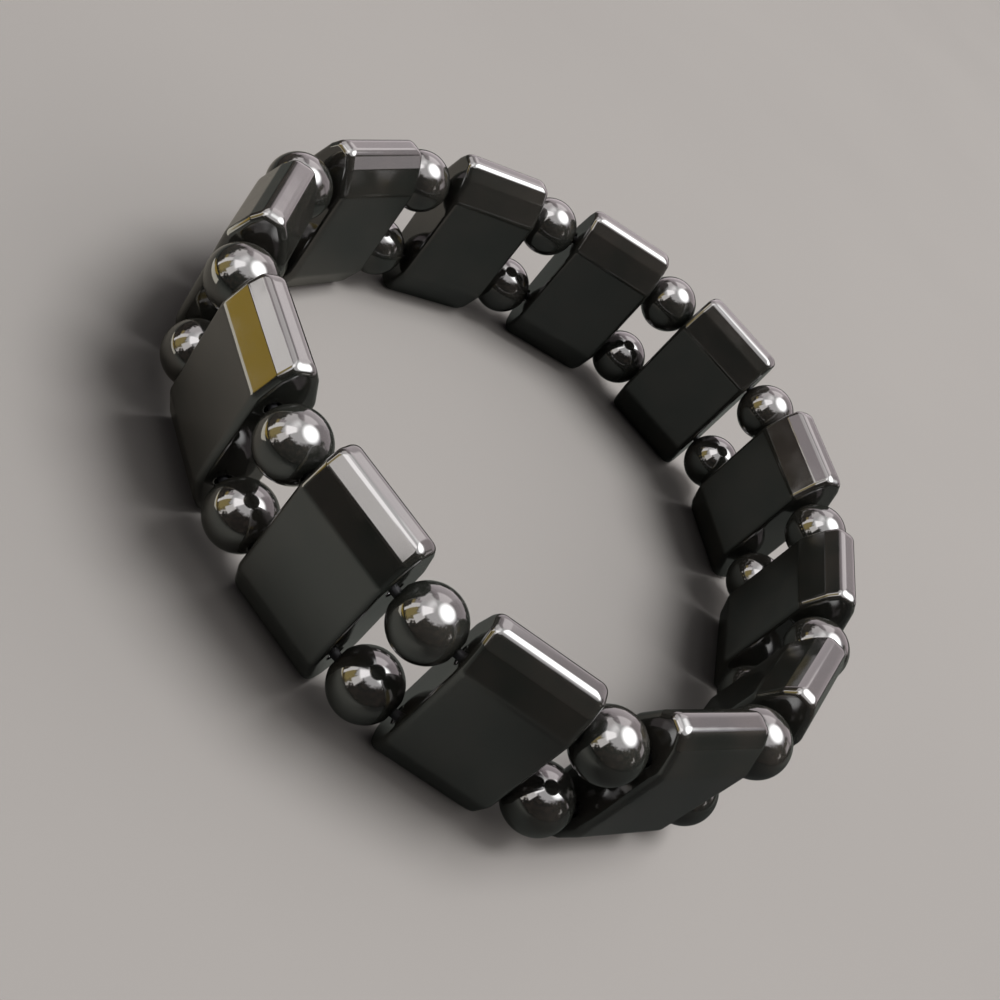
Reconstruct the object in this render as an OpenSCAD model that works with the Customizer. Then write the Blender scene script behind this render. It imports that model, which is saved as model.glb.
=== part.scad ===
// Stretch bracelet of polished hematite, standing on its edge.
// Flat tablets with two drill holes each alternate with pairs of round beads,
// one bead above the other, on two closed elastic cords.
// All sizes are in millimetres and all angles in degrees.
// The origin is on the floor at the middle of the loop, and +Z points up.

/* [Loop] */
// Tablets in the loop, each followed by one pair of round beads
tablet_count = 12; // [12:3:15]
// Swing of the loop's direction either side of an even curve, three times round
sway = 5.8; // [0:0.1:6]
// Angle round the loop at which that swing starts
sway_start = 35.4; // [0:0.1:120]
// Gap between neighbours on a cord
link_gap = 0.24; // [0.24:0.02:0.6]
// Height of the upper row of holes over the lower row
row_pitch = 9; // [8:0.1:10]

/* [Tablets] */
// Width along the cords
tablet_w = 9.8; // [8:0.1:11]
// Thickness between the two wide faces
tablet_t = 5.4; // [4.8:0.1:6.4]
// Height
tablet_h = 18; // [17.2:0.1:20]
// Height of the flat middle of each wide face
flat_h = 10.4; // [9:0.1:11.4]
// Height between the breaks in the upper and lower bevels
shoulder_h = 15.4; // [14.4:0.1:16]
// Thickness at those breaks
shoulder_t = 3.4; // [2.6:0.1:3.6]
// Thickness of the narrow top and bottom faces
edge_t = 1.6; // [1.2:0.1:2.2]
// Chamfer round the two end faces
end_chamfer = 0.3; // [0.1:0.05:0.4]
// Distance that the holes lie outside the middle of the thickness
hole_offset = 0.6; // [0:0.1:0.8]

/* [Beads] */
// Diameter of a round bead
bead_d = 6; // [5.6:0.1:6.2]
// Drill hole through beads and tablets
hole_d = 1.4; // [1.2:0.1:1.6]

/* [Cords] */
// Diameter of an elastic cord
cord_d = 0.8; // [0.5:0.1:0.9]

/* [Hidden] */

$fn = 64;
cut = 1;
cord_sides = 8;
hematite = "#3c3c40";
elastic = "#17171a";

// The loop is a chain of straight links: even ones are tablets, odd ones are bead pairs.
links = 2 * tablet_count;
turn = 360 / links;
mid_z = tablet_h / 2;
upper_z = mid_z + row_pitch / 2;
lower_z = mid_z - row_pitch / 2;

function node_name(kind, i) = str(kind, i < 10 ? "_0" : "_", i);

function heading(k) = 90 + turn * k + sway * sin(3 * (turn * k + sway_start));
function direction(angle) = [cos(angle), sin(angle)];
function inward(angle) = [-sin(angle), cos(angle)];
function link_length(k) = (k % 2 == 0 ? tablet_w : bead_d) + link_gap;

// Ends of the links, from an arbitrary start. Three equal thirds bring the chain back to it.
chain = [for (k = 0, p = [0, 0]; k < links; p = p + link_length(k) * direction(heading(k)), k = k + 1) p];
function chain_mid(k) = (chain[k] + chain[(k + 1) % links]) / 2;

// Outermost points in plan, whose box is centred on the origin.
function tablet_reach(k) = [
    for (along = [-1, 1], across = [-1, 1], c = [0, end_chamfer])
        chain_mid(k)
        + along * (tablet_w / 2 - c) * direction(heading(k))
        + (hole_offset + across * (tablet_t / 2 - (end_chamfer - c))) * inward(heading(k))
];
function bead_reach(k) = [for (side = [-1, 1]) chain_mid(k) + side * [bead_d, bead_d] / 2];
reach = [for (k = [0 : links - 1]) each (k % 2 == 0 ? tablet_reach(k) : bead_reach(k))];
function middle(values) = (min(values) + max(values)) / 2;
loop_centre = [middle([for (p = reach) p.x]), middle([for (p = reach) p.y])];

// Moves a shape built along +X to link k at height z.
module on_link(k, z) {
    place = chain_mid(k) - loop_centre;
    translate([place.x, place.y, z]) rotate([0, 0, heading(k)]) children();
}

module drill_hole() {
    rotate([0, 90, 0]) cylinder(d = hole_d, h = tablet_w + cut, center = true);
}

module chamfered_rectangle(w, h) {
    a = w / 2;
    b = h / 2;
    c = end_chamfer;
    polygon([
        [a - c, -b], [a, c - b], [a, b - c], [a - c, b],
        [c - a, b], [-a, b - c], [-a, c - b], [c - a, -b]
    ]);
}

// Section across the cords: flat wide faces, two bevels up and two down on each, narrow edges.
module tablet_section() {
    right = [
        [edge_t, -tablet_h], [shoulder_t, -shoulder_h], [tablet_t, -flat_h],
        [tablet_t, flat_h], [shoulder_t, shoulder_h], [edge_t, tablet_h]
    ];
    left = [for (i = [len(right) - 1 : -1 : 0]) [-right[i].x, right[i].y]];
    polygon(concat(right, left) / 2);
}

module tablet(i) {
    color(hematite) on_link(2 * i - 2, mid_z) difference() {
        translate([0, hole_offset, 0]) intersection() {
            rotate([90, 0, 90]) linear_extrude(tablet_w, center = true) tablet_section();
            linear_extrude(tablet_h + cut, center = true) chamfered_rectangle(tablet_w, tablet_t);
            rotate([90, 0, 0]) linear_extrude(tablet_t + cut, center = true)
                chamfered_rectangle(tablet_w, tablet_h);
        }
        for (side = [-1, 1]) translate([0, 0, side * row_pitch / 2]) drill_hole();
    }
}

// A ball turned round its own drill hole.
module bead(i, z) {
    color(hematite) on_link(2 * i - 1, z) rotate([0, 90, 0]) rotate_extrude() intersection() {
        circle(d = bead_d);
        translate([hole_d / 2, -bead_d / 2]) square(bead_d);
    }
}

// Ring of points round the cord, square to the given direction.
function cord_ring(centre, angle, z) = [
    for (s = [0 : cord_sides - 1])
        let (a = 360 * s / cord_sides, across = cord_d / 2 * cos(a) * inward(angle))
            [centre.x + across.x, centre.y + across.y, z + cord_d / 2 * sin(a)]
];

// Closed tube along the links, with a ring at each end and each middle of a link.
module cord(z) {
    rings = [for (k = [0 : links - 1]) each [
        cord_ring(chain[k] - loop_centre, (heading(k - 1) + heading(k)) / 2, z),
        cord_ring(chain_mid(k) - loop_centre, heading(k), z)
    ]];
    count = len(rings);
    faces = [
        for (r = [0 : count - 1], s = [0 : cord_sides - 1])
            let (
                next_r = (r + 1) % count,
                next_s = (s + 1) % cord_sides,
                a = r * cord_sides + s,
                b = r * cord_sides + next_s,
                c = next_r * cord_sides + next_s,
                d = next_r * cord_sides + s
            )
            each [[a, b, c], [a, c, d]]
    ];
    color(elastic) polyhedron([for (ring = rings) each ring], faces);
}

for (i = [1 : tablet_count]) {
    tablet(i);
    bead(i, upper_z);
    bead(i, lower_z);
}
cord(upper_z);  // elastic_cord_upper
cord(lower_z);  // elastic_cord_lower
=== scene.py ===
"""Looks of a hematite stretch bracelet that stands on its edge on a pale floor.

Polished tablets with two drill holes alternate with pairs of round beads on two elastic
cords. Everything is in metres, in the frame of the CAD model.
"""

import math

import bpy
from mathutils import Matrix, Vector
from mathutils.geometry import tessellate_polygon


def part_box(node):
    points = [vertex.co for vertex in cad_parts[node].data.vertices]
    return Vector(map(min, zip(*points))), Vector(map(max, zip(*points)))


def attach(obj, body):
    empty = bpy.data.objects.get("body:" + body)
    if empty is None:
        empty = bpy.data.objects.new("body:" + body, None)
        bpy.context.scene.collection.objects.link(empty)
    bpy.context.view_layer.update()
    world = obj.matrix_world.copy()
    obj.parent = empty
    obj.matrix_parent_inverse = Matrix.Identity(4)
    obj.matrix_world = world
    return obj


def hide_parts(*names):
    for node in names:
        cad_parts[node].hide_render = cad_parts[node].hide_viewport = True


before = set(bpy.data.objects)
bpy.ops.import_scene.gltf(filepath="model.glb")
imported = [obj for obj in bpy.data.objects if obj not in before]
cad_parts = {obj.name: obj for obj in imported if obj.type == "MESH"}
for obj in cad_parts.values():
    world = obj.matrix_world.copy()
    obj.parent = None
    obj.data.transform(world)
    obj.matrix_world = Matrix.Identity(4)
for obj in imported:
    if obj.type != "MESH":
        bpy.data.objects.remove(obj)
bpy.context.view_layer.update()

MM = 0.001
PAIRS = sum(name.startswith("tablet_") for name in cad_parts)
LINKS = 2 * PAIRS

# Loop, as in the CAD model
SWAY = 5.8
SWAY_START = 35.4
SWAY_WAVES = 3
FIRST_HEADING = 90
LINK_GAP = 0.24 * MM
ROW_PITCH = 9 * MM

# Tablets, as in the CAD model
TABLET_W = 9.8 * MM
TABLET_T = 5.4 * MM
TABLET_H = 18 * MM
FLAT_H = 10.4 * MM
SHOULDER_H = 15.4 * MM
SHOULDER_T = 3.4 * MM
EDGE_T = 1.6 * MM
HOLE_OFFSET = 0.6 * MM

# Beads and cords, as in the CAD model, but for the balls, which are drawn a hair smaller so
# that their finer curves stay inside its box
BEAD_R = 3 * MM
BALL_R = 2.995 * MM
HOLE_R = 0.7 * MM
CORD_R = 0.4 * MM

# Roundings that polishing leaves on the stones
FLAT_ROUND = 1.8 * MM
SHOULDER_ROUND = 1.1 * MM
EDGE_ROUND = 1 * MM
END_ROUND = 0.65 * MM
CORNER_ROUND = 0.6 * MM
TABLET_MOUTH = 0.2 * MM
BEAD_MOUTH = 0.2 * MM

# Steps round curves
CORNER_STEPS = 8
END_STEPS = 8
HOLE_STEPS = 40
MOUTH_STEPS = 5
BEAD_TURN_STEPS = 72
BEAD_ARC_STEPS = 52
CORD_STEPS = 16
CORD_LINK_STEPS = 6

# Camera, in the CAD frame
CAMERA_AT = Vector((18.21, -89.74, 72.85)) * MM
CAMERA_YAW = math.radians(-11.46)
CAMERA_DOWN = math.radians(37.95)
CAMERA_ROLL = math.radians(-43.82)
CAMERA_LENS = 43.53
CAMERA_SENSOR = 36
CAMERA_CLIP = 5 * MM

# Soft lamp overhead, and the glow that the stones mirror in its direction
LAMP_TOWARDS = Vector((0.24, 0.3, 0.92))
LAMP_DISTANCE = 1.2
LAMP_RADIUS = 0.3
LAMP_POWER = 39
GLOW_CORE = math.radians(4)
GLOW_EDGE = math.radians(29)
GLOW_TINT = (15, 14.9, 14.8)

# Stone, with the lumps per metre of each layer of detail
STONE_IOR = 1.9
STONE_TINTS = (0.004, 0.0045, 0.0038), (0.007, 0.0065, 0.0055)
STONE_ROUGHNESS = 0.05, 0.11
HAZE_WEIGHT = 0.06
HAZE_ROUGHNESS = 0.4
SPECK_TINT = 0.003, 0.003, 0.003
SPECK_ROUGHNESS = 0.2
CLOUD_LUMPS = 260
CLOUD_RAMP = 0.3, 0.7
SPECK_LUMPS = 2600
SPECK_RAMP = 0.72, 0.8
SPECK_MOST = 0.6
GLOSS_LUMPS = 420
GLOSS_RAMP = 0.3, 0.75
WAVE_LUMPS = 190
WAVE_DEPTH = 0.04 * MM
GRAIN_LUMPS = 5200
GRAIN_DEPTH = 0.0006 * MM

# Elastic
ELASTIC_TINTS = (0.004, 0.004, 0.005), (0.012, 0.012, 0.013)
ELASTIC_ROUGHNESS = 0.42, 0.6
ELASTIC_SPECULAR = 0.2
STRAND_LUMPS = 9000
STRAND_RAMP = 0.2, 0.8
STRAND_DEPTH = 0.03 * MM

# Floor
FLOOR_SIZE = 20
FLOOR_TINTS = (0.0925, 0.0877, 0.084), (0.102, 0.0967, 0.0923)
FLOOR_LUMPS = 14
FLOOR_ROUGHNESS = 0.5

# Painted shade and painted reflections: what the stones mirror of the floor, darker than the
# floor itself: two tints beside the loop on the -X -Y side, which turn from one to the other
# along it, darker tints elsewhere, and two glowing oblongs, painted reflections, given by their
# middle, size and tint. A ramp is where a tint starts to change and where it is changed.
MIRRORED_BESIDE = (0.08, 0.074, 0.064), (0.0775, 0.0797, 0.0715)
MIRRORED_ELSEWHERE = 0.029, 0.031, 0.0285
MIRRORED_RIGHT = 0.014, 0.0147, 0.014
MIRRORED_FAR = 0.004, 0.004, 0.004
BESIDE_RAMP = 0.01, 0.034
BEHIND_RAMP = -0.045, -0.01
AROUND_RAMP = 0.05, 0.11
FAR_RAMP = 0.16, 0.28
RIGHT_RAMP = 0.024, 0.036
RIGHT_BACK_RAMP = 0.012, 0.03
OBLONG_TURN = math.radians(-25)
OBLONG_EDGE = 1 * MM
GOLD_REFLECTION_OBLONG = (-0.1383, -0.116), (0.078, 0.13), (1.27, 0.8, 0.02)
PALE_REFLECTION_OBLONG = (-0.0704, -0.0551), (0.06, 0.038), (2.4, 2.25, 1.9)

# Sky that the stones mirror: a mottled dark room, a pale dome over it, and parts painted over
# both in this order. A part is the middle and half width of its azimuth from +Y towards +X,
# its low and high elevation and the softness of its edges, all in degrees, and its tint.
ROOM_TINTS = (0.03, 0.027, 0.027), (0.13, 0.1, 0.085)
ROOM_LUMPS = 5
ROOM_RAMP = 0.4, 0.65
DOME_TINT = 2.8, 2.7, 2.7
DOME_RAMP = 48, 57
RAGGED_BY = 6
RAGGED_LUMPS = 7, 8
RAGGED_RAMP = 0.3, 0.7
RAGGED_PARTS = (
    (-106, 48, 38, 62, 4, (2.8, 2.7, 2.7)),
    (-80, 19, 31, 60, 3, (2.9, 2.7, 2.7)),
    (-10, 47, -90, 58, 5, (1.15, 0.99, 1.04)),
    (-25, 22, -90, 58, 7, (1.7, 1.5, 1.56)),
    (50, 18, 36, 58, 3, (1.3, 1.2, 1.3)),
    (82, 3, 15, 25, 1.5, (2.2, 2.1, 2)),
    (50, 14, -10, 8, 3, (0.01, 0.01, 0.01)),
    (-130, 15, 2, 36, 4, (1.45, 1.12, 0.42)),
    (-152, 4, -4, 24, 2.5, (3.2, 3, 2.8)),
)
EXACT_PARTS = (
    (-107, 42, 60, 74, 11, (6, 5.8, 5.8)),
    (-156, 12, 21, 50, 1.5, (3.8, 3.6, 3.5)),
    (-24, 18, 34, 62, 3, (3.5, 3.2, 3.25)),
    (48, 9, 10, 24, 1.5, (1.3, 1.17, 1.2)),
    (-104, 7, 17, 24, 2, (1.35, 1.02, 0.38)),
    (-104, 6, 25, 40, 2, (1.7, 1.5, 1.55)),
    (-114.5, 6.5, 17, 40, 0.7, (4.2, 4, 3.9)),
    (-116.5, 4.5, 11.6, 17, 0.7, (4.2, 4, 3.9)),
    (-117.5, 3.5, -10, 12, 0.7, (4.2, 4, 3.9)),
    (-138, 21, 46, 74, 4, (7.8, 7.5, 7.5)),
)

# Light on matt surfaces, strongest from one side, and the plain backdrop that the camera sees
FILL_TOWARDS = 0.57, 0.44, 0.69
FILL_TINTS = (0.1, 0.1, 0.11), (6, 5.8, 5.7)
FILL_RAMP = 0.45, 1
BACKDROP_TINT = 0.33, 0.315, 0.3


def heading(k):
    """Direction of link k of the loop, in radians from +X."""
    even = 360 / LINKS * k
    sway = SWAY * math.sin(math.radians(SWAY_WAVES * (even + SWAY_START)))
    return math.radians(FIRST_HEADING + even + sway)


def link_length(k):
    return (2 * BEAD_R if k % 2 else TABLET_W) + LINK_GAP


def loop_ends():
    """Ends of the links, in order, with the loop centred where the CAD model has it."""
    ends = [Vector((0, 0, 0))]
    for k in range(LINKS - 1):
        step = Vector((math.cos(heading(k)), math.sin(heading(k)), 0))
        ends.append(ends[-1] + step * link_length(k))
    low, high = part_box("bead_upper_01")
    shift = (low + high) / 2 - (ends[1] + ends[2]) / 2
    shift.z = 0
    return [end + shift for end in ends]


ENDS = loop_ends()


def on_link(k, z):
    """Place of a piece on link k: X along the cord, Y inwards, Z up."""
    middle = (ENDS[k] + ENDS[(k + 1) % LINKS]) / 2
    return Matrix.Translation((middle.x, middle.y, z)) @ Matrix.Rotation(heading(k), 4, "Z")


class Surface:
    """Points, normals and faces of a closed surface, collected ring by ring."""

    def __init__(self):
        self.points = []
        self.normals = []
        self.faces = []

    def ring(self, points, normals):
        """Adds a ring of points and returns their numbers."""
        first = len(self.points)
        self.points += [Vector(p) for p in points]
        self.normals += [Vector(n).normalized() for n in normals]
        return list(range(first, len(self.points)))

    def band(self, a, b):
        """Joins two rings of the same size with quads."""
        for i in range(len(a)):
            j = (i + 1) % len(a)
            self.faces.append((a[i], a[j], b[j], b[i]))

    def cap(self, rings, facing):
        """Fills the flat area inside the first ring and outside the others."""
        flat = [n for ring in rings for n in ring]
        for tri in tessellate_polygon([[self.points[n] for n in ring] for ring in rings]):
            a, b, c = (flat[k] for k in tri)
            turned = (self.points[b] - self.points[a]).cross(self.points[c] - self.points[a])
            self.faces.append((a, b, c) if turned.x * facing > 0 else (a, c, b))

    def object(self, name, place):
        """An object of the surface at a place, shaded with the true normals."""
        mesh = bpy.data.meshes.new(name)
        mesh.from_pydata([place @ p for p in self.points], [], self.faces)
        mesh.shade_smooth()
        turn = place.to_3x3()
        mesh.normals_split_custom_set_from_vertices([turn @ n for n in self.normals])
        piece = bpy.data.objects.new(name, mesh)
        bpy.context.scene.collection.objects.link(piece)
        return piece


def quarter(steps):
    return [math.pi / 2 * s / steps for s in range(steps + 1)]


def spokes(steps):
    """Unit vectors all round, in the plane across the cords."""
    turns = [2 * math.pi * s / steps for s in range(steps)]
    return [Vector((math.cos(a), math.sin(a))) for a in turns]


def rounded_outline(corners, radii):
    """Points and outward normals of a convex outline with an arc at each corner."""
    outline = []
    for i, (corner, radius) in enumerate(zip(corners, radii)):
        to_last = (corners[i - 1] - corner).normalized()
        to_next = (corners[(i + 1) % len(corners)] - corner).normalized()
        half = to_last.angle(to_next) / 2
        middle = corner + (to_last + to_next).normalized() * radius / math.sin(half)
        first = math.atan2(to_last.x, -to_last.y)
        for step in range(CORNER_STEPS + 1):
            angle = first + (math.pi - 2 * half) * step / CORNER_STEPS
            normal = Vector((math.cos(angle), math.sin(angle)))
            outline.append((middle + normal * radius, normal))
    return outline


def tablet_outline():
    """Section of a tablet across the cords, anticlockwise, as (across, up)."""
    right = [
        (EDGE_T, -TABLET_H, EDGE_ROUND),
        (SHOULDER_T, -SHOULDER_H, SHOULDER_ROUND),
        (TABLET_T, -FLAT_H, FLAT_ROUND),
        (TABLET_T, FLAT_H, FLAT_ROUND),
        (SHOULDER_T, SHOULDER_H, SHOULDER_ROUND),
        (EDGE_T, TABLET_H, EDGE_ROUND),
    ]
    left = [(-across, up, radius) for across, up, radius in reversed(right)]
    corners = [Vector((across / 2, up / 2)) for across, up, _ in right + left]
    return rounded_outline(corners, [radius for _, _, radius in right + left])


def corner_dip(up):
    """How far the ends of a tablet draw back at this height, for rounded corners."""
    over = max(0, abs(up) - TABLET_H / 2 + CORNER_ROUND)
    return CORNER_ROUND - math.sqrt(max(0, CORNER_ROUND ** 2 - over ** 2))


def across_grid(grid, j, i, guess):
    """Normal at a point of a closed grid of points, on the side of a rough guess."""
    row = grid[j]
    around = row[(i + 1) % len(row)] - row[i - 1]
    along = grid[min(j + 1, len(grid) - 1)][i] - grid[max(j - 1, 0)][i]
    normal = around.cross(along).normalized()
    return normal if normal.dot(guess) > 0 else -normal


def tablet_skin(surface):
    """The outside of a tablet but for its flat ends, whose outlines it returns."""
    outline = tablet_outline()
    grid = []
    guesses = []
    for end in (-1, 1):
        for turn in quarter(END_STEPS)[::end]:
            inset = [p - n * END_ROUND * (1 - math.cos(turn)) for p, n in outline]
            reach = TABLET_W / 2 - END_ROUND * (1 - math.sin(turn))
            grid.append([Vector((end * (reach - corner_dip(q.y)), q.x, q.y)) for q in inset])
            sideways = end * math.sin(turn)
            guesses.append([Vector((sideways, *(n * math.cos(turn)))) for _, n in outline])
    rings = []
    for j, (points, guess) in enumerate(zip(grid, guesses)):
        if 0 < j < len(grid) - 1:
            guess = [across_grid(grid, j, i, rough) for i, rough in enumerate(guess)]
        rings.append(surface.ring(points, guess))
    for a, b in zip(rings, rings[1:]):
        surface.band(a, b)
    return rings[0], rings[-1]


def tablet_hole(surface, row):
    """One drill hole of a tablet with rounded mouths, whose outlines it returns."""
    middle = Vector((-HOLE_OFFSET, row * ROW_PITCH / 2))
    rings = []
    for end in (-1, 1):
        for turn in quarter(MOUTH_STEPS)[::-end]:
            along = end * (TABLET_W / 2 - TABLET_MOUTH * (1 - math.cos(turn)))
            radius = HOLE_R + TABLET_MOUTH * (1 - math.sin(turn))
            points = [(along, *(middle + s * radius)) for s in spokes(HOLE_STEPS)]
            normals = [(end * math.cos(turn), *(s * -math.sin(turn))) for s in spokes(HOLE_STEPS)]
            rings.append(surface.ring(points, normals))
    for a, b in zip(rings, rings[1:]):
        surface.band(b, a)
    return rings[0], rings[-1]


def tablet_surface():
    """A tablet about its own middle: X along the cords, Y inwards, Z up."""
    surface = Surface()
    first, last = tablet_skin(surface)
    holes = [tablet_hole(surface, row) for row in (-1, 1)]
    surface.cap([first] + [hole[0] for hole in holes], -1)
    surface.cap([last] + [hole[1] for hole in holes], 1)
    return surface


def bead_surface():
    """A ball about its own drill hole, which runs along X and has rounded mouths."""
    surface = Surface()
    reach = HOLE_R + BEAD_MOUTH
    mouth = Vector((math.sqrt((BALL_R - BEAD_MOUTH) ** 2 - reach ** 2), reach))
    edge = math.atan2(mouth.y, mouth.x)
    profile = []
    for step in range(BEAD_ARC_STEPS + 1):
        turn = math.pi - edge - (math.pi - 2 * edge) * step / BEAD_ARC_STEPS
        normal = Vector((math.cos(turn), math.sin(turn)))
        profile.append((normal * BALL_R, normal))
    for end in (1, -1):
        for step in range(1, MOUTH_STEPS + 1):
            share = step / MOUTH_STEPS if end > 0 else 1 - step / MOUTH_STEPS
            turn = edge - (edge + math.pi / 2) * share
            normal = Vector((end * math.cos(turn), math.sin(turn)))
            profile.append((Vector((end * mouth.x, mouth.y)) + normal * BEAD_MOUTH, normal))
    rings = []
    for p, n in profile:
        points = [(p.x, *(s * p.y)) for s in spokes(BEAD_TURN_STEPS)]
        normals = [(n.x, *(s * n.y)) for s in spokes(BEAD_TURN_STEPS)]
        rings.append(surface.ring(points, normals))
    for a, b in zip(rings, rings[1:] + rings[:1]):
        surface.band(a, b)
    return surface


def cord_line():
    """Points along the closed line that the cords follow, smooth through the links."""
    knots = []
    for k in range(LINKS):
        knots += [ENDS[k], (ENDS[k] + ENDS[(k + 1) % LINKS]) / 2]
    line = []
    for i in range(len(knots)):
        a, b, c, d = (knots[(i + j) % len(knots)] for j in (-1, 0, 1, 2))
        for step in range(CORD_LINK_STEPS):
            t = step / CORD_LINK_STEPS
            start = (c - a) / 2
            stop = (d - b) / 2
            line.append(
                b * (2 * t ** 3 - 3 * t ** 2 + 1) + c * (3 * t ** 2 - 2 * t ** 3)
                + start * (t ** 3 - 2 * t ** 2 + t) + stop * (t ** 3 - t ** 2)
            )
    return line


def cord_surface():
    """A closed round cord at height 0."""
    surface = Surface()
    line = cord_line()
    rings = []
    for i, at in enumerate(line):
        along = (line[(i + 1) % len(line)] - line[i - 1]).normalized()
        across = Vector((-along.y, along.x, 0))
        normals = [across * s.x + Vector((0, 0, s.y)) for s in spokes(CORD_STEPS)]
        rings.append(surface.ring([at + n * CORD_R for n in normals], normals))
    for a, b in zip(rings, rings[1:] + rings[:1]):
        surface.band(a, b)
    return surface


def put(surface, name, place, node, material):
    """Makes a piece, which stands for a CAD node and rides with the bracelet."""
    piece = surface.object(name, place)
    piece.data.materials.append(material)
    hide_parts(node)
    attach(piece, "root")


def new_material(name):
    """A material, its node tree and its one surface shader."""
    material = bpy.data.materials.new(name)
    material.use_nodes = True
    shader = material.node_tree.nodes["Principled BSDF"]
    return material, material.node_tree, shader


def noise(tree, where, scale, detail, roughness=0.5):
    """Factor of a noise texture, scale in lumps per metre."""
    node = tree.nodes.new("ShaderNodeTexNoise")
    node.inputs["Scale"].default_value = scale
    node.inputs["Detail"].default_value = detail
    node.inputs["Roughness"].default_value = roughness
    tree.links.new(where, node.inputs["Vector"])
    return node.outputs[0]


def between(tree, value, low, high, to_low, to_high, smooth=True):
    """Maps a value from one range to another, and holds it at the ends."""
    node = tree.nodes.new("ShaderNodeMapRange")
    node.interpolation_type = "SMOOTHSTEP" if smooth else "LINEAR"
    for name, number in (
        ("From Min", low), ("From Max", high), ("To Min", to_low), ("To Max", to_high)
    ):
        node.inputs[name].default_value = number
    tree.links.new(value, node.inputs["Value"])
    return node.outputs["Result"]


def maths(tree, kind, a, b=None, c=None):
    """A Math node on sockets or numbers."""
    node = tree.nodes.new("ShaderNodeMath")
    node.operation = kind
    for socket, value in zip(node.inputs, (a, b, c)):
        if isinstance(value, (int, float)):
            socket.default_value = value
        elif value is not None:
            tree.links.new(value, socket)
    return node.outputs[0]


def mixed(tree, factor, a, b):
    """Mixes two colours, each a socket or three numbers."""
    node = tree.nodes.new("ShaderNodeMix")
    node.data_type = "RGBA"
    for name, value in (("A_Color", a), ("B_Color", b), ("Factor_Float", factor)):
        socket = next(s for s in node.inputs if s.identifier == name)
        if isinstance(value, tuple):
            socket.default_value = (*value, 1)
        elif isinstance(value, (int, float)):
            socket.default_value = value
        else:
            tree.links.new(value, socket)
    return next(s for s in node.outputs if s.identifier == "Result_Color")


def bump(tree, heights):
    """Normal of several bumps on each other, each (height, depth in metres)."""
    normal = None
    for height, depth in heights:
        node = tree.nodes.new("ShaderNodeBump")
        node.inputs["Distance"].default_value = depth
        tree.links.new(height, node.inputs["Height"])
        if normal is not None:
            tree.links.new(normal, node.inputs["Normal"])
        normal = node.outputs["Normal"]
    return normal


def object_place(tree):
    return tree.nodes.new("ShaderNodeTexCoord").outputs["Object"]


def hematite_material():
    """Polished hematite: near-black stone with a mirror gloss, a faint haze and waves."""
    material, tree, shader = new_material("polished_hematite")
    where = object_place(tree)
    shader.inputs["IOR"].default_value = STONE_IOR
    shader.inputs["Coat Weight"].default_value = HAZE_WEIGHT
    shader.inputs["Coat Roughness"].default_value = HAZE_ROUGHNESS

    cloud = between(tree, noise(tree, where, CLOUD_LUMPS, detail=4), *CLOUD_RAMP, 0, 1)
    tint = mixed(tree, cloud, *STONE_TINTS)
    speck = noise(tree, where, SPECK_LUMPS, detail=2)
    speck = between(tree, speck, *SPECK_RAMP, 0, SPECK_MOST)
    tree.links.new(mixed(tree, speck, tint, SPECK_TINT), shader.inputs["Base Color"])

    gloss = noise(tree, where, GLOSS_LUMPS, detail=5, roughness=0.6)
    rough = between(tree, gloss, *GLOSS_RAMP, *STONE_ROUGHNESS)
    rough = maths(tree, "ADD", rough, maths(tree, "MULTIPLY", speck, SPECK_ROUGHNESS))
    tree.links.new(rough, shader.inputs["Roughness"])

    waves = noise(tree, where, WAVE_LUMPS, detail=2)
    grain = noise(tree, where, GRAIN_LUMPS, detail=2)
    normal = bump(tree, [(waves, WAVE_DEPTH), (grain, GRAIN_DEPTH)])
    tree.links.new(normal, shader.inputs["Normal"])
    return material


def elastic_material():
    """Satin elastic cord with fine strands."""
    material, tree, shader = new_material("elastic_strands")
    strands = noise(tree, object_place(tree), STRAND_LUMPS, detail=2)
    tree.links.new(mixed(tree, strands, *ELASTIC_TINTS), shader.inputs["Base Color"])
    shader.inputs["Specular IOR Level"].default_value = ELASTIC_SPECULAR
    rough = between(tree, strands, *STRAND_RAMP, *ELASTIC_ROUGHNESS)
    tree.links.new(rough, shader.inputs["Roughness"])
    tree.links.new(bump(tree, [(strands, STRAND_DEPTH)]), shader.inputs["Normal"])
    return material


def along(tree, vector, way):
    """How far a vector points along a fixed way."""
    node = tree.nodes.new("ShaderNodeVectorMath")
    node.operation = "DOT_PRODUCT"
    tree.links.new(vector, node.inputs[0])
    node.inputs[1].default_value = way
    return node.outputs["Value"]


def length(tree, vector):
    node = tree.nodes.new("ShaderNodeVectorMath")
    node.operation = "LENGTH"
    tree.links.new(vector, node.inputs[0])
    return node.outputs["Value"]


def on_oblong(tree, where, under, oblong):
    """Paints a turned glowing oblong of the floor, a painted reflection, given by middle, size
    and tint, over the rest.
    """
    middle, size, tint = oblong
    middle = Vector((*middle, 0))
    right = Vector((math.cos(OBLONG_TURN), math.sin(OBLONG_TURN), 0))
    ahead = Vector((-right.y, right.x, 0))
    shares = []
    for way, whole in zip((right, ahead), size):
        off = maths(tree, "SUBTRACT", along(tree, where, way), way.dot(middle))
        off = maths(tree, "ABSOLUTE", off)
        shares.append(between(tree, off, whole / 2, whole / 2 + OBLONG_EDGE, 1, 0))
    return mixed(tree, maths(tree, "MULTIPLY", *shares), under, tint)


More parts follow.
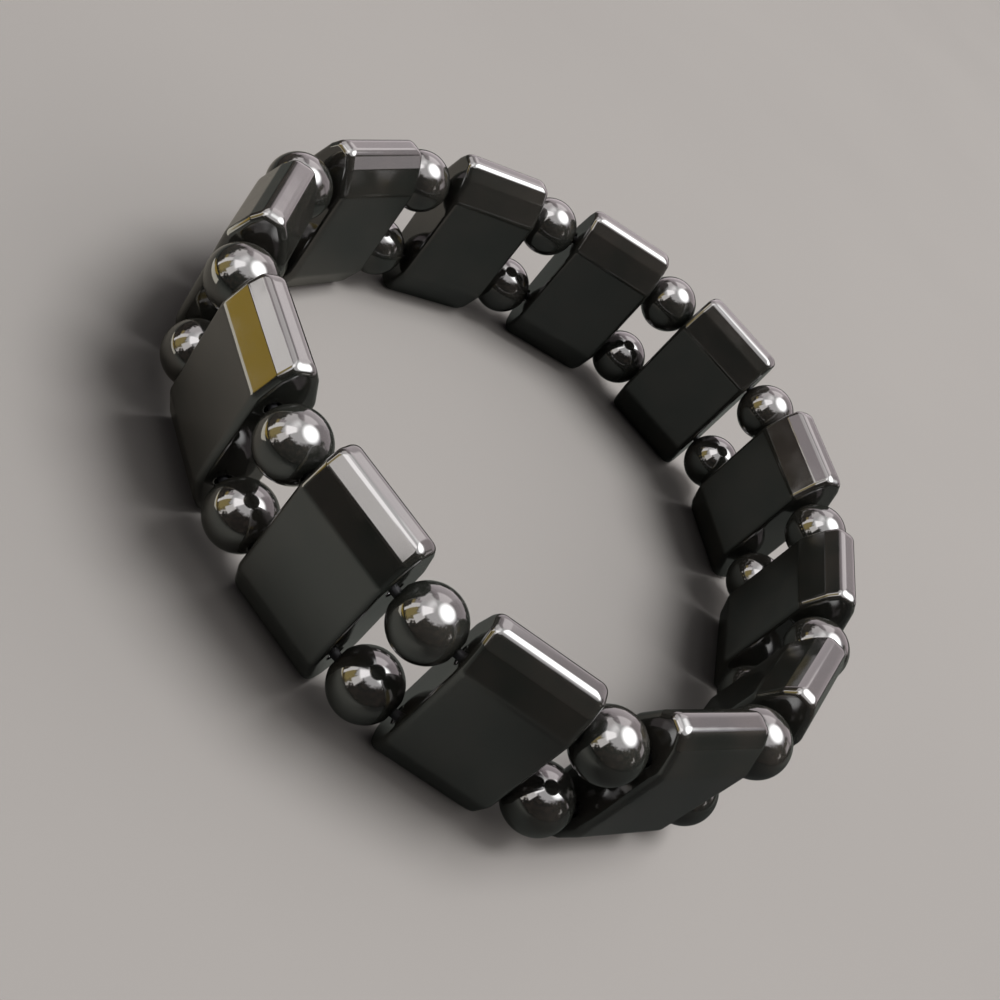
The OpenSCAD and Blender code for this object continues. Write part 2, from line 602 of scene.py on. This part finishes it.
def mirrored_floor_shade(tree, where):
    """Painted shade: the darker floor that the stones mirror, but for its glowing oblongs."""
    away = length(tree, where)
    beside = between(tree, along(tree, where, (1, -1, 0)), *BESIDE_RAMP, 0, 1)
    beside = mixed(tree, beside, *MIRRORED_BESIDE)
    right = between(tree, along(tree, where, (1, 0, 0)), *RIGHT_RAMP, 0, 1)
    front = between(tree, along(tree, where, (0, 1, 0)), *RIGHT_BACK_RAMP, 1, 0)
    right = maths(tree, "MULTIPLY", right, front)
    dark = mixed(tree, right, MIRRORED_ELSEWHERE, MIRRORED_RIGHT)
    dark = mixed(tree, between(tree, away, *FAR_RAMP, 0, 1), dark, MIRRORED_FAR)
    behind = between(tree, along(tree, where, (1, 1, 0)), *BEHIND_RAMP, 0, 1)
    around = between(tree, away, *AROUND_RAMP, 0, 1)
    return mixed(tree, maths(tree, "MAXIMUM", behind, around), beside, dark)


def floor_material():
    """Plain matt pale floor. The stones mirror a darker one, painted shade, with two glowing
    oblongs, painted reflections.
    """
    material, tree, shader = new_material("pale_floor")
    material.cycles.emission_sampling = "NONE"
    shader.inputs["Specular IOR Level"].default_value = 0
    shader.inputs["Roughness"].default_value = FLOOR_ROUGHNESS
    shader.inputs["Emission Strength"].default_value = 1
    where = object_place(tree)
    mirrored = tree.nodes.new("ShaderNodeLightPath").outputs["Is Glossy Ray"]

    pale = mixed(tree, noise(tree, where, FLOOR_LUMPS, detail=4), *FLOOR_TINTS)
    # Mirror rays see painted shade: a darker floor than the pale one.
    tint = mixed(tree, mirrored, pale, mirrored_floor_shade(tree, where))
    tree.links.new(tint, shader.inputs["Base Color"])

    # Painted reflections: two oblongs glow, for mirror rays only, one gold and one pale.
    black = 0, 0, 0
    painted_glow = on_oblong(tree, where, black, GOLD_REFLECTION_OBLONG)
    painted_glow = on_oblong(tree, where, painted_glow, PALE_REFLECTION_OBLONG)
    painted_glow = mixed(tree, mirrored, black, painted_glow)
    tree.links.new(painted_glow, shader.inputs["Emission Color"])
    return material


def direction(tree, out):
    """Azimuth from +Y towards +X and elevation of a world direction, in degrees."""
    parts = tree.nodes.new("ShaderNodeSeparateXYZ")
    tree.links.new(out, parts.inputs[0])
    degree = math.degrees(1)
    azimuth = maths(tree, "ARCTAN2", parts.outputs[0], parts.outputs[1])
    elevation = maths(tree, "ARCSINE", parts.outputs[2])
    return [maths(tree, "MULTIPLY", angle, degree) for angle in (azimuth, elevation)]


def on_part(tree, sky, angles, part):
    """Paints a soft-edged part of the sky over the rest."""
    azimuth, elevation = angles
    middle, half, low, high, soft, tint = part
    away = maths(tree, "WRAP", maths(tree, "SUBTRACT", azimuth, middle), 180, -180)
    sides = between(tree, maths(tree, "ABSOLUTE", away), half - soft, half + soft, 1, 0)
    bottom = between(tree, elevation, low - soft, low + soft, 0, 1)
    top = between(tree, elevation, high - soft, high + soft, 1, 0)
    share = maths(tree, "MULTIPLY", sides, maths(tree, "MULTIPLY", bottom, top))
    return mixed(tree, share, sky, tint)


def wavered(tree, out, angle, lumps):
    """An angle of a world direction, wavered so that edges painted along it are ragged."""
    off = noise(tree, out, lumps, detail=3, roughness=0.6)
    off = between(tree, off, *RAGGED_RAMP, -RAGGED_BY, RAGGED_BY, smooth=False)
    return maths(tree, "ADD", angle, off)


def mirrored_sky(tree, out):
    """What the stones mirror of the room, for a world direction."""
    exact = direction(tree, out)
    ragged = [wavered(tree, out, *pair) for pair in zip(exact, RAGGED_LUMPS)]
    mottle = between(tree, noise(tree, out, ROOM_LUMPS, detail=4), *ROOM_RAMP, 0, 1)
    room = mixed(tree, mottle, *ROOM_TINTS)
    sky = mixed(tree, between(tree, ragged[1], *DOME_RAMP, 0, 1), room, DOME_TINT)
    for angles, parts in ((ragged, RAGGED_PARTS), (exact, EXACT_PARTS)):
        for part in parts:
            sky = on_part(tree, sky, angles, part)
    near_lamp = along(tree, out, LAMP_TOWARDS.normalized())
    glow = between(tree, near_lamp, math.cos(GLOW_EDGE), math.cos(GLOW_CORE), 0, 1)
    return mixed(tree, glow, sky, GLOW_TINT)


def room_light():
    """Light from all round: a room in the stones, a soft fill on matt surfaces."""
    world = bpy.data.worlds.new("room")
    bpy.context.scene.world = world
    world.use_nodes = True
    tree = world.node_tree
    out = tree.nodes.new("ShaderNodeTexCoord").outputs["Generated"]
    rays = tree.nodes.new("ShaderNodeLightPath")
    fill = between(tree, along(tree, out, FILL_TOWARDS), *FILL_RAMP, 0, 1)
    fill = mixed(tree, fill, *FILL_TINTS)
    sky = mixed(tree, rays.outputs["Is Diffuse Ray"], mirrored_sky(tree, out), fill)
    sky = mixed(tree, rays.outputs["Is Camera Ray"], sky, BACKDROP_TINT)
    tree.links.new(sky, tree.nodes["Background"].inputs["Color"])


def soft_lamp():
    """A round soft lamp, nearly overhead, which the stones don't mirror themselves."""
    lamp = bpy.data.lights.new("soft_lamp", "AREA")
    lamp.shape = "DISK"
    lamp.size = 2 * LAMP_RADIUS
    lamp.energy = LAMP_POWER
    holder = bpy.data.objects.new("soft_lamp", lamp)
    holder.location = LAMP_TOWARDS.normalized() * LAMP_DISTANCE
    holder.rotation_mode = "QUATERNION"
    holder.rotation_quaternion = LAMP_TOWARDS.to_track_quat("Z", "Y")
    holder.visible_glossy = False
    bpy.context.scene.collection.objects.link(holder)


def floor():
    """A large flat sheet under the bracelet."""
    half = FLOOR_SIZE / 2
    corners = [(-half, -half, 0), (half, -half, 0), (half, half, 0), (-half, half, 0)]
    mesh = bpy.data.meshes.new("floor")
    mesh.from_pydata(corners, [], [(0, 1, 2, 3)])
    sheet = bpy.data.objects.new("floor", mesh)
    sheet.data.materials.append(floor_material())
    bpy.context.scene.collection.objects.link(sheet)


def camera():
    """The camera, tilted and rolled as the photograph's."""
    ahead = Vector((
        math.sin(CAMERA_YAW) * math.cos(CAMERA_DOWN),
        math.cos(CAMERA_YAW) * math.cos(CAMERA_DOWN),
        -math.sin(CAMERA_DOWN),
    ))
    level = Vector((math.cos(CAMERA_YAW), -math.sin(CAMERA_YAW), 0))
    lower = ahead.cross(level)
    right = math.cos(CAMERA_ROLL) * level + math.sin(CAMERA_ROLL) * lower
    up = math.sin(CAMERA_ROLL) * level - math.cos(CAMERA_ROLL) * lower
    data = bpy.data.cameras.new("camera")
    data.lens = CAMERA_LENS
    data.sensor_width = CAMERA_SENSOR
    data.clip_start = CAMERA_CLIP
    holder = bpy.data.objects.new("camera", data)
    turn = Matrix((right, up, -ahead)).transposed().to_4x4()
    holder.matrix_world = Matrix.Translation(CAMERA_AT) @ turn
    bpy.context.scene.collection.objects.link(holder)
    bpy.context.scene.camera = holder


def bracelet():
    """All stones and cords."""
    hematite = hematite_material()
    elastic = elastic_material()
    tablet = tablet_surface()
    bead = bead_surface()
    cord = cord_surface()
    rows = {
        "upper": (TABLET_H + ROW_PITCH) / 2,
        "lower": (TABLET_H - ROW_PITCH) / 2,
    }
    inwards = Matrix.Translation((0, HOLE_OFFSET, 0))
    for i in range(1, PAIRS + 1):
        place = on_link(2 * i - 2, TABLET_H / 2) @ inwards
        put(tablet, f"polished_tablet_{i:02d}", place, f"tablet_{i:02d}", hematite)
        for row, z in rows.items():
            node = f"bead_{row}_{i:02d}"
            put(bead, f"polished_{node}", on_link(2 * i - 1, z), node, hematite)
    for row, z in rows.items():
        place = Matrix.Translation((0, 0, z))
        put(cord, f"cord_{row}", place, f"elastic_cord_{row}", elastic)


bpy.context.scene.view_settings.view_transform = "Standard"
camera()
bracelet()
floor()
room_light()
soft_lamp()
